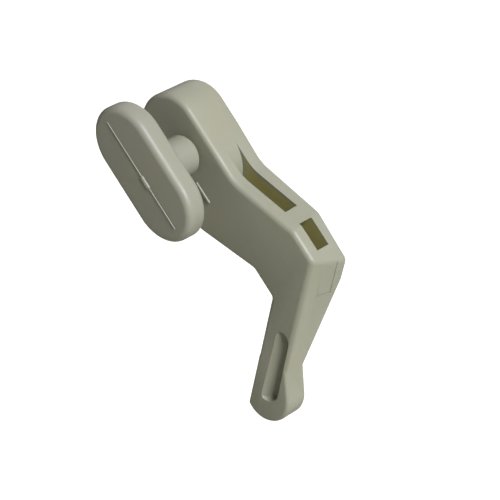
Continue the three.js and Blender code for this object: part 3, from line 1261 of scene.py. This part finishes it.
    def finger_dish(self) -> bpy.types.Object:
        """Makes the cutter of the finger dish, a long scoop whose floor turns outwards.

        Returns:
            The cutter.
        """
        steps, height = 24, 4.0
        radius = self.dish_width / 2
        half = (self.dish_end - self.dish_start) / 2 - radius
        turns = [math.pi * (i / steps - 0.5) for i in range(steps + 1)]
        outline = [(half + radius * math.cos(t), radius * math.sin(t)) for t in turns]
        outline += [(-half - radius * math.cos(t), -radius * math.sin(t)) for t in turns]
        dish = add_prism("finger_dish", outline, height, 0.0)
        edit(dish)
        pick(dish, Element.VERT, lambda v: v.co.x < 0)
        squeeze(1, self.dish_narrowing)
        pick(dish, Element.EDGE, lambda e: all(abs(v.co.z) < HAIR for v in e.verts))
        bevel(self.dish_round, 6)
        leave_edit()
        middle = (self.corners["third"] + self.along * (self.dish_start + self.dish_end) / 2
                  - self.outward * self.dish_inset)
        dish.matrix_world = (
            Matrix.Translation(Vector((middle.x, middle.y, -self.dish_depth)) * MM)
            @ Matrix.Rotation(-math.radians(self.handle_angle + self.dish_turn), 4, "Z")
            @ Matrix.Rotation(-math.radians(self.dish_tilt), 4, "X"))
        return settle(dish)

    def flash_line(self) -> bpy.types.Object:
        """Makes the short raised parting line on the near side, below the neck.

        Returns:
            The line.
        """
        line = add_block("flash_line", self.flash_low, self.flash_high)
        soften(line, self.flash_round, 3, 30)
        return line

    def pocket_painted_shade(self) -> bpy.types.NodeTree:
        """Builds the mask of painted shade and warm bounce light, 0 outside the pockets and 1 well
        inside them.

        Returns:
            The group, which reads a place in the frame.
        """
        group, (x, y, z), end = self.mask_group("pocket_painted_shade")
        first, second = self.corners["first"], self.corners["second"]
        spine = spread(group, x, first.x * MM, second.x * MM, first.y * MM, second.y * MM)
        depth = math_node(group, "SUBTRACT", spine, y)
        middle = (self.near - self.pocket_offset - self.pocket_width / 2) * MM
        off_middle = math_node(group, "ABSOLUTE", math_node(group, "SUBTRACT", z, middle))
        dx = math_node(group, "SUBTRACT", x, self.hub_offset * MM)
        dy = math_node(group, "SUBTRACT", y, (self.boss_radius - self.hub_radius) * MM)
        apart = math_node(group, "SQRT", math_node(
            group, "ADD", product(group, dx, dx), product(group, dy, dy)))
        side_slack, end_slack, fade = 0.03, 0.1, 0.2
        half = self.pocket_width / 2 + side_slack
        right = second.x + self.short_start + self.short_length + end_slack
        hub_start, hub_end = (self.hub_radius + reach for reach in self.hub_ramp)
        # painted shade: a warm tint standing in for shade and bounce light, stronger deeper in the
        # pockets and away from the hub's wall
        mask = product(
            group, spread(group, depth, self.shade_ramp[0] * MM, self.shade_ramp[1] * MM),
            spread(group, depth, self.shade_end * MM, (self.shade_end + fade) * MM, 1.0, 0.0),
            math_node(group, "LESS_THAN", off_middle, half * MM),
            math_node(group, "LESS_THAN", x, right * MM),
            math_node(group, "GREATER_THAN", x, self.hub_offset * MM),
            spread(group, apart, hub_start * MM, hub_end * MM))
        group.links.new(mask, end.inputs["Mask"])
        return group

    def build(self) -> bpy.types.Object:
        """Builds the lever's mesh in the arm's axes.

        Returns:
            The mesh.
        """
        obj = self.shank()
        for name, offset, segments, slide in (
                ("first", 1.9, 8, 3.0), ("inner_first", 2.4, 8, 0.5),
                ("inner_second", 0.5, 3, 0.5), ("inner_third", 0.5, 3, 0.5),
                ("second", 0.6, 4, 3.0), ("third", 0.9, 5, 5.0)):
            self.round_bend(obj, self.corners[name], offset, segments, slide)
        edit(obj)
        pick(obj, Element.EDGE, is_rim)
        bevel(self.rim, 5, clamp=False)
        leave_edit()
        combine(obj, self.tip_pad(), Cut.JOIN)
        below = -self.boss_thickness - 1
        seat = self.seat_depth - self.boss_thickness
        for cutter in (
                add_round("bore", (0, 0), self.bore_radius, 1, below),
                add_round("seat", (0, 0), self.seat_radius, seat, below),
                self.long_pocket(), self.short_pocket(), self.plug_pocket(), self.finger_dish()):
            combine(obj, cutter, Cut.TAKE_AWAY)
        combine(obj, self.flash_line(), Cut.JOIN)
        clean(obj)
        soften(obj, self.edge, 2, 50)
        clean(obj)
        obj.location.z = self.near * MM
        return settle(obj)

    def plug_pocket(self) -> bpy.types.Object:
        """Makes the cutter of the plugged pocket in the handle.

        Returns:
            The cutter.
        """
        half, wide = self.plug_length / 2, self.pocket_width / 2
        cutter = add_block("plug_pocket", (-half, -self.plug_pocket_depth, -wide),
                           (half, self.pocket_mouth, wide))
        cutter.matrix_world = self.plug_frame()
        return settle(cutter)


@dataclass
class THead(Piece):
    """The T-shaped head with its neck and the spindle that the lever turns on.

    Attributes:
        top: z of the head's front face.
        spindle_end: z of the spindle's end.
        length: length of the head.
        end_length: length of each rounded end.
        width: width of the head.
        edge: rounding of its rims.
        neck_length: length of the neck.
        neck_radius: radius of the neck.
        spindle_radius: radius of the spindle.
        pilot_radius: radius of the screw's hole.
        pilot_depth: depth of the screw's hole.
        fillet: rounding where the neck meets the head.
        neck_edge: rounding where the neck meets the lever.
        spindle_edge: rounding of the spindle's end.
        neck_sink: how far the neck reaches into the head.
        mark_sink: how far the raised marks reach into its face.
        line_height: height of the gate mark.
        line_fall: how much lower the parting line is.
        line_reach: half the length of the parting line.
        line_half: half its width.
        line_round: its rounding.
        gate_start: start of the gate mark, along the head.
        gate_end: end of the gate mark.
        gate_half: half its width.
        gate_round: its rounding.
        line_fade: how far from the middle line the paler look and painted highlight end, from and
            to.
        gate_fade: how far from the gate mark's middle the paler look and painted highlight weaken,
            from and to.
    """

    top: float
    spindle_end: float
    length: float = 34.29
    end_length: float = 9.5
    width: float = 16.0
    edge: float = 1.6
    neck_length: float = 9.0
    neck_radius: float = 4.9
    spindle_radius: float = 4.0
    pilot_radius: float = 2.1
    pilot_depth: float = 9.0
    fillet: float = 0.5
    neck_edge: float = 0.7
    spindle_edge: float = 0.3
    neck_sink: float = 1.5
    mark_sink: float = 0.5
    line_height: float = 0.3
    line_fall: float = 0.16
    line_reach: float = 14.2
    line_half: float = 0.18
    line_round: float = 0.12
    gate_start: float = 0.1
    gate_end: float = 3.4
    gate_half: float = 0.5
    gate_round: float = 0.28
    line_fade: Flat = (0.2, 0.6)
    gate_fade: Flat = (1.0, 2.6)

    def flash_paleness_and_painted_highlight(self) -> bpy.types.NodeTree:
        """Builds the mask of the parting line and gate mark, where the nylon is paler and a
        highlight is painted.

        Returns:
            The group, which reads a place in the frame.
        """
        group, (x, y, z), end = self.mask_group("flash_paleness_and_painted_highlight")
        gate_middle = (self.gate_start + self.gate_end) / 2
        just_above, full_below = 0.02, 0.14
        from_gate = math_node(group, "SUBTRACT", x, gate_middle * MM)
        off_line = math_node(group, "ABSOLUTE", y)
        off_gate = math_node(group, "ABSOLUTE", from_gate)
        # partly the paler thin flash, partly a painted highlight: on the raised line, strongest at
        # the gate mark
        mask = product(
            group,
            spread(group, z, (self.top - self.line_height + just_above) * MM,
                   (self.top - full_below) * MM),
            spread(group, off_line, self.line_fade[0] * MM, self.line_fade[1] * MM, 1.0, 0.0),
            spread(group, off_gate, self.gate_fade[0] * MM, self.gate_fade[1] * MM, 1.0, 0.3),
            spread(group, noise(group, x, scale=260.0, detail=2.0), 0.25, 0.6, 0.35, 1.0))
        group.links.new(mask, end.inputs["Mask"])
        return group

    def board(self) -> bpy.types.Object:
        """Makes the oblong head: a round slab drawn out along x, with rounded rims.

        Returns:
            The head without its neck.
        """
        face = self.top - self.line_height
        obj = add_round("t_head", (0, 0), self.width / 2, face, 0, 160)
        edit(obj)
        stretch = self.end_length / (self.width / 2)
        pick_all()
        squeeze(stretch, 1)
        reach = (self.length / 2 - self.end_length) * MM
        for side in (1, -1):
            pick(obj, Element.VERT, lambda v, s=side: s * v.co.x > 10 * HAIR)
            bpy.ops.transform.translate(value=(side * reach, 0, 0))
        pick(obj, Element.EDGE, is_rim)
        bevel(self.edge, 10)
        leave_edit()
        return obj

    def stem(self) -> bpy.types.Object:
        """Makes the neck, and steps it down to the spindle and its blind hole.

        Returns:
            The stem, which reaches up into the head.
        """
        obj = add_round("stem", (0, 0), self.neck_radius, self.neck_sink, -self.neck_length)
        edit(obj)
        pick(obj, Element.FACE, lambda f: f.normal.z < -CAP)
        bpy.ops.mesh.inset(thickness=(self.neck_radius - self.spindle_radius) * MM)
        pick(obj, Element.FACE, lambda f: f.normal.z < -CAP and len(f.verts) > 4)
        extrude((0, 0, (self.spindle_end + self.neck_length) * MM))
        bpy.ops.mesh.inset(thickness=(self.spindle_radius - self.pilot_radius) * MM)
        extrude((0, 0, self.pilot_depth * MM))
        for level, radius, width in (
                (self.spindle_end, self.spindle_radius, self.spindle_edge),
                (-self.neck_length, self.neck_radius, self.neck_edge)):
            pick(obj, Element.EDGE, lambda e, z=level * MM, r=radius * MM: all(
                abs(v.co.z - z) < HAIR and abs(v.co.xy.length - r) < 10 * HAIR for v in e.verts))
            bevel(width, 4)
        face_outward()
        return obj

    def build(self) -> bpy.types.Object:
        """Builds the head's mesh in the arm's axes.

        Returns:
            The mesh.
        """
        obj = self.board()
        combine(obj, self.stem(), Cut.JOIN)
        edit(obj)
        ring, close = self.neck_radius * MM, 0.02 * MM
        pick(obj, Element.EDGE, lambda e: all(
            abs(v.co.z) < HAIR and abs(v.co.xy.length - ring) < close for v in e.verts))
        bevel(self.fillet, 4)
        leave_edit()
        root = self.top - self.line_height - self.mark_sink
        for name, start, end, half, top, rounding in (
                ("parting_line", -self.line_reach, self.line_reach, self.line_half,
                 self.top - self.line_fall, self.line_round),
                ("gate_mark", self.gate_start, self.gate_end, self.gate_half,
                 self.top, self.gate_round)):
            mark = add_block(name, (start, -half, root), (end, half, top))
            soften(mark, rounding, 4, 30)
            combine(obj, mark, Cut.JOIN)
        clean(obj)
        return obj


@dataclass
class HandlePlug(Piece):
    """The small plug that fills the pocket in the handle's outer face.

    Attributes:
        lever: the lever it is pressed into.
        depth: how deep it reaches.
        gap: what is left round it.
        edge: rounding of its edges.
        sink: how far its outer face lies below the handle's.
        border: how wide the border is round the slight hollow of its outer face.
        hollow: how deep that hollow is.
        taper: its inner end's length and width, as a share of the outer end's.
    """

    lever: LeverArm
    depth: float = 4.0
    gap: float = 0.03
    edge: float = 0.09
    sink: float = 0.02
    border: float = 0.7
    hollow: float = 0.03
    taper: Flat = (0.97, 0.95)

    def build(self) -> bpy.types.Object:
        """Builds the plug's mesh in the arm's axes.

        Returns:
            The mesh.
        """
        half = self.lever.plug_length / 2 - self.gap
        wide = self.lever.pocket_width / 2 - self.gap
        obj = add_block("handle_plug", (-half, -self.depth, -wide), (half, -self.sink, wide))
        edit(obj)
        pick(obj, Element.FACE, lambda f: f.normal.y > CAP)
        bpy.ops.mesh.inset(thickness=self.border * MM)
        bpy.ops.transform.translate(value=(0, -self.hollow * MM, 0))
        pick(obj, Element.FACE, lambda f: f.normal.y < -CAP)
        bpy.ops.transform.resize(value=(self.taper[0], 1, self.taper[1]),
                                 center_override=(0, 0, 0))
        leave_edit()
        soften(obj, self.edge, 3, 50)
        obj.matrix_world = Matrix.Translation((0, 0, self.lever.near * MM)) @ self.lever.plug_frame()
        settle(obj)
        clean(obj)
        return obj


@dataclass
class RetainingWasher(Piece):
    """The stamped washer that keeps the lever on its spindle.

    Attributes:
        top: z of its upper face.
        bottom: z of its lower face.
        radius: its radius.
        hole: radius of its hole.
        edge: rounding of its edges.
    """

    top: float
    bottom: float
    radius: float = 6.0
    hole: float = 2.3
    edge: float = 0.18

    def build(self) -> bpy.types.Object:
        """Builds the washer's mesh in the arm's axes.

        Returns:
            The mesh.
        """
        obj = add_round("retaining_washer", (0, 0), self.radius, self.top, self.bottom)
        edit(obj)
        pick(obj, Element.FACE, lambda f: abs(f.normal.z) > CAP)
        bpy.ops.mesh.inset(thickness=(self.radius - self.hole) * MM)
        pick(obj, Element.FACE, lambda f: abs(f.normal.z) > CAP and len(f.verts) > 4)
        bpy.ops.mesh.bridge_edge_loops()
        pick(obj, Element.EDGE, is_rim)
        bevel(self.edge, 3)
        face_outward()
        clean(obj)
        return obj


@dataclass
class RetainingScrew(Piece):
    """The pan-head screw with its cross recess and rolled thread.

    Attributes:
        under_head: z of the seat under its head.
        top: z of its point end.
        bottom: z of the outside of its head.
        head_radius: radius of its head.
        dome: rounding of its head.
        shank_radius: radius at the root of its thread.
        shoulder: plain length below the head.
        ridge: height of the thread.
        pitch: pitch of the thread.
        flank: rise of each side of a ridge, as a share of the pitch.
        crest: length of its top, as a share of the pitch.
        point: radius of its point, as a share of the shank's.
        recess_length: length of each arm of the cross.
        recess_width: width of each arm.
        recess_depth: depth of the cross.
        recess_taper: size of the cross at its floor, as a share of its mouth's.
    """

    under_head: float
    top: float
    bottom: float
    head_radius: float = 3.6
    dome: float = 1.05
    shank_radius: float = 1.6
    shoulder: float = 0.4
    ridge: float = 0.28
    pitch: float = 1.2
    flank: float = 0.4
    crest: float = 0.2
    point: float = 0.6
    recess_length: float = 4.0
    recess_width: float = 0.9
    recess_depth: float = 1.1
    recess_taper: float = 0.75

    def thread(self) -> list[Flat]:
        """Lists the rises and widenings that draw the threaded shank out of the head.

        Returns:
            For each step its rise, and how many times wider it makes the shank.
        """
        length = self.top - self.under_head
        grown = (self.shank_radius + self.ridge) / self.shank_radius
        steps = [(self.shoulder, 1.0)]
        for _ in range(int(length / self.pitch - 1)):
            steps += [(self.pitch * self.flank, grown), (self.pitch * self.crest, 1.0),
                      (self.pitch * self.flank, 1.0 / grown)]
        steps.append((length - sum(rise for rise, _ in steps), self.point))
        return steps

    def build(self) -> bpy.types.Object:
        """Builds the screw's mesh in the arm's axes.

        Returns:
            The mesh.
        """
        obj = add_round("retaining_screw", (0, 0), self.head_radius, self.under_head,
                        self.bottom, 72)
        edit(obj)
        pick(obj, Element.EDGE, lambda e: all(v.co.z < self.bottom * MM + HAIR for v in e.verts))
        bevel(self.dome, 7)
        pick(obj, Element.FACE, lambda f: f.normal.z > CAP)
        bpy.ops.mesh.inset(thickness=(self.head_radius - self.shank_radius) * MM)
        pick(obj, Element.FACE, lambda f: f.normal.z > CAP and len(f.verts) > 4)
        for rise, scale in self.thread():
            extrude((0, 0, rise * MM))
            squeeze(scale, scale)
        leave_edit()
        half, wide = self.recess_length / 2, self.recess_width / 2
        for x, y in ((half, wide), (wide, half)):
            cross = add_block("cross", (-x, -y, self.bottom - 1),
                              (x, y, self.bottom + self.recess_depth))
            edit(cross)
            pick(cross, Element.FACE, lambda f: f.normal.z > CAP)
            squeeze(self.recess_taper, self.recess_taper)
            leave_edit()
            combine(obj, cross, Cut.TAKE_AWAY)
        clean(obj)
        return obj


# ---------------------------------------------------------------- floor, light and camera

@dataclass(frozen=True)
class Lamp:
    """A soft square lamp that faces the latch.

    Attributes:
        name: its name.
        way: direction from the latch to it.
        size: its width, in metres.
        power: its power, in watts.
        reach: its distance, in metres.
    """

    name: str
    way: Point
    size: float
    power: float
    reach: float = 0.8

    def hang(self, centre: Vector) -> bpy.types.Object:
        """Hangs the lamp.

        Args:
            centre: the place it faces.

        Returns:
            The lamp.
        """
        toward = Vector(self.way).normalized()
        bpy.ops.object.light_add(type="AREA", location=centre + toward * self.reach)
        lamp = bpy.context.active_object
        lamp.name = self.name
        lamp.data.size = self.size
        lamp.data.energy = self.power
        lamp.visible_camera = False
        lamp.rotation_euler = toward.to_track_quat("Z", "Y").to_euler()
        return lamp


@dataclass(frozen=True)
class Key:
    """The main light, which comes from far off and from a wide patch of sky.

    Attributes:
        way: direction from the latch to it.
        strength: its strength, in watts per square metre.
        spread: width of the patch, in degrees.
        tint: its colour.
    """

    way: Point = (0.73, -0.17, 0.65)
    strength: float = 6.3
    spread: float = 28.0
    tint: Point = (0.96, 0.98, 1.12)

    def hang(self, centre: Vector) -> bpy.types.Object:
        """Hangs the light.

        Args:
            centre: the place it faces.

        Returns:
            The light.
        """
        toward = Vector(self.way).normalized()
        bpy.ops.object.light_add(type="SUN", location=centre + toward)
        key = bpy.context.active_object
        key.name = "key"
        key.data.energy = self.strength
        key.data.angle = math.radians(self.spread)
        key.data.color = self.tint
        key.rotation_euler = toward.to_track_quat("Z", "Y").to_euler()
        return key


@dataclass(frozen=True)
class PaleFloor:
    """The floor's finish: pale grey, glowing a little towards the camera so that it looks white.

    Attributes:
        dark: its darker tone.
        light: its lighter tone.
        glow: what it adds where the camera sees it.
    """

    dark: Point = (0.44, 0.43, 0.35)
    light: Point = (0.47, 0.46, 0.38)
    glow: Point = (0.66, 0.66, 0.68)

    def build(self) -> bpy.types.Material:
        """Builds the material.

        Returns:
            The material.
        """
        material, shader, where = blank_material("pale_floor")
        tree = material.node_tree
        faint = spread(tree, noise(tree, where, scale=3.0, detail=2.0), 0.3, 0.7)
        seen = tree.nodes.new("ShaderNodeLightPath").outputs["Is Camera Ray"]
        colour = mix_colour(tree, faint, (*self.dark, 1.0), (*self.light, 1.0))
        glow = mix_colour(tree, seen, BLACK, (*self.glow, 1.0))
        tree.links.new(colour, shader.inputs["Base Color"])
        tree.links.new(glow, shader.inputs["Emission Color"])
        for label, value in (("Emission Strength", 1.0), ("Roughness", 0.85),
                             ("Specular IOR Level", 0.1)):
            shader.inputs[label].default_value = value
        return material


@dataclass(frozen=True)
class Studio:
    """A pale floor under soft light, with the camera at the front right.

    Attributes:
        centre: centre of the latch's box.
        lowest: height of its lowest point.
        drop: how far the floor lies below it, in metres.
        floor_size: width of the floor, in metres.
        sky: strength of the sky as a light.
        lamps: the soft lamps.
        azimuth: the camera's direction, in degrees.
        elevation: its height above the horizon, in degrees.
        distance: how far off it stands, in metres.
        lens: its focal length, in millimetres.
        film: width of its film, in millimetres.
        clip: the nearest and farthest that it sees, in metres.
        slide: how far it is moved sideways and up, square to its view, in metres.
    """

    centre: Vector
    lowest: float
    drop: float = 0.10
    floor_size: float = 12.0
    sky: float = 0.02
    lamps: tuple[Lamp, ...] = (Lamp("fill", (-0.55, -1.0, 0.55), size=0.28, power=0.1),
                               Lamp("back", (-0.5, 1.0, 0.45), size=0.5, power=1.1))
    azimuth: float = 37.6
    elevation: float = 24.7
    distance: float = 0.631
    lens: float = 200.0
    film: float = 36.0
    clip: Flat = (0.05, 20.0)
    slide: Flat = (0.00602, 0.00295)

    def floor(self) -> bpy.types.Object:
        """Lays the floor.

        Returns:
            The floor.
        """
        bpy.ops.mesh.primitive_plane_add(
            size=self.floor_size,
            location=(self.centre.x, self.centre.y, self.lowest - self.drop))
        floor = settle(name_last("floor"))
        floor.data.materials.append(PaleFloor().build())
        return floor

    def light(self) -> None:
        """Sets the sky, which the camera sees as white, and hangs the lights."""
        world = bpy.data.worlds.new("studio")
        world.use_nodes = True
        tree = world.node_tree
        sky = tree.nodes["Background"]
        sky.inputs["Color"].default_value = WHITE
        seen = tree.nodes.new("ShaderNodeLightPath").outputs["Is Camera Ray"]
        tree.links.new(spread(tree, seen, 0.0, 1.0, self.sky, 1.0), sky.inputs["Strength"])
        scene = bpy.context.scene
        scene.world = world
        scene.view_settings.view_transform = "Standard"
        for light in (*self.lamps, Key()):
            light.hang(self.centre)

    def camera(self) -> bpy.types.Object:
        """Sets up the camera.

        Returns:
            The camera.
        """
        turn, rise = math.radians(self.azimuth), math.radians(self.elevation)
        back = Vector((math.sin(turn) * math.cos(rise), -math.cos(turn) * math.cos(rise),
                       math.sin(rise)))
        right = Vector((math.cos(turn), math.sin(turn), 0.0))
        up = back.cross(right)
        place = self.centre + back * self.distance + right * self.slide[0] + up * self.slide[1]
        bpy.ops.object.camera_add(location=place)
        camera = bpy.context.active_object
        camera.name = "camera"
        camera.data.lens = self.lens
        camera.data.sensor_width = self.film
        camera.data.clip_start, camera.data.clip_end = self.clip
        camera.rotation_euler = back.to_track_quat("Z", "Y").to_euler()
        bpy.context.scene.camera = camera
        return camera


# ---------------------------------------------------------------- the latch

@dataclass
class Latch:
    """The whole latch: head, lever, plug, washer and screw.

    Attributes:
        axes: the arm's axes in the frame.
        groups: the shared node groups.
        screw_gap: what is left between the washer and the screw's head, in millimetres.
    """

    axes: ArmAxes
    groups: ShaderGroups
    screw_gap: float = 0.3

    def build(self) -> list[bpy.types.Object]:
        """Builds and dresses every piece.

        Returns:
            The pieces.
        """
        front = {name: -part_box(name)[0].y / MM for name in frame["nodes"]}
        rear = {name: -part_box(name)[1].y / MM for name in frame["nodes"]}
        lever = LeverArm(self.axes, front["lever_arm"])
        head = THead(self.axes, front["t_head"], rear["t_head"])
        plug = HandlePlug(self.axes, lever)
        washer = RetainingWasher(self.axes, front["retaining_washer"], rear["retaining_washer"])
        screw = RetainingScrew(self.axes, rear["retaining_washer"] - self.screw_gap,
                               front["retaining_screw"], rear["retaining_screw"])
        # lever nylon: painted shade and warm bounce light in the pockets
        nylon = MouldedNylon("lever_nylon").build(self.groups, lever.pocket_painted_shade())
        # head nylon: its tint is the paler flash with a painted highlight on the raised marks
        head_nylon = MouldedNylon(
            "head_nylon", base=(0.222, 0.219, 0.163), painted_light_tint=(0.37, 0.37, 0.31)
        ).build(self.groups, head.flash_paleness_and_painted_highlight())
        plug_nylon = MouldedNylon("plug_nylon", base=(0.230, 0.228, 0.162)).build(self.groups)
        zinc = PlatedSteel("zinc").build(self.groups)
        return [piece.hand_over(piece.build(), body, node, slot, finish)
                for piece, body, node, slot, finish in (
                    (lever, Body.LEVER, "lever_arm", "lever_plastic", nylon),
                    (plug, Body.LEVER, "handle_plug", "plug_plastic", plug_nylon),
                    (head, Body.HEAD, "t_head", "head_plastic", head_nylon),
                    (washer, Body.HEAD, "retaining_washer", "washer_steel", zinc),
                    (screw, Body.HEAD, "retaining_screw", "screw_steel", zinc))]


def main() -> None:
    """Builds the latch, its finishes, the floor, the light and the camera."""
    logging.basicConfig(level=logging.INFO, format="%(name)s: %(message)s")
    axes = ArmAxes.from_record(frame["record"])
    pieces = Latch(axes, ShaderGroups.build()).build()
    log.info("%d pieces built", len(pieces))
    low, high = CAD_BOX
    studio = Studio((low + high) / 2, low.z)
    studio.floor()
    studio.light()
    studio.camera()


if __name__ == "__main__":
    main()
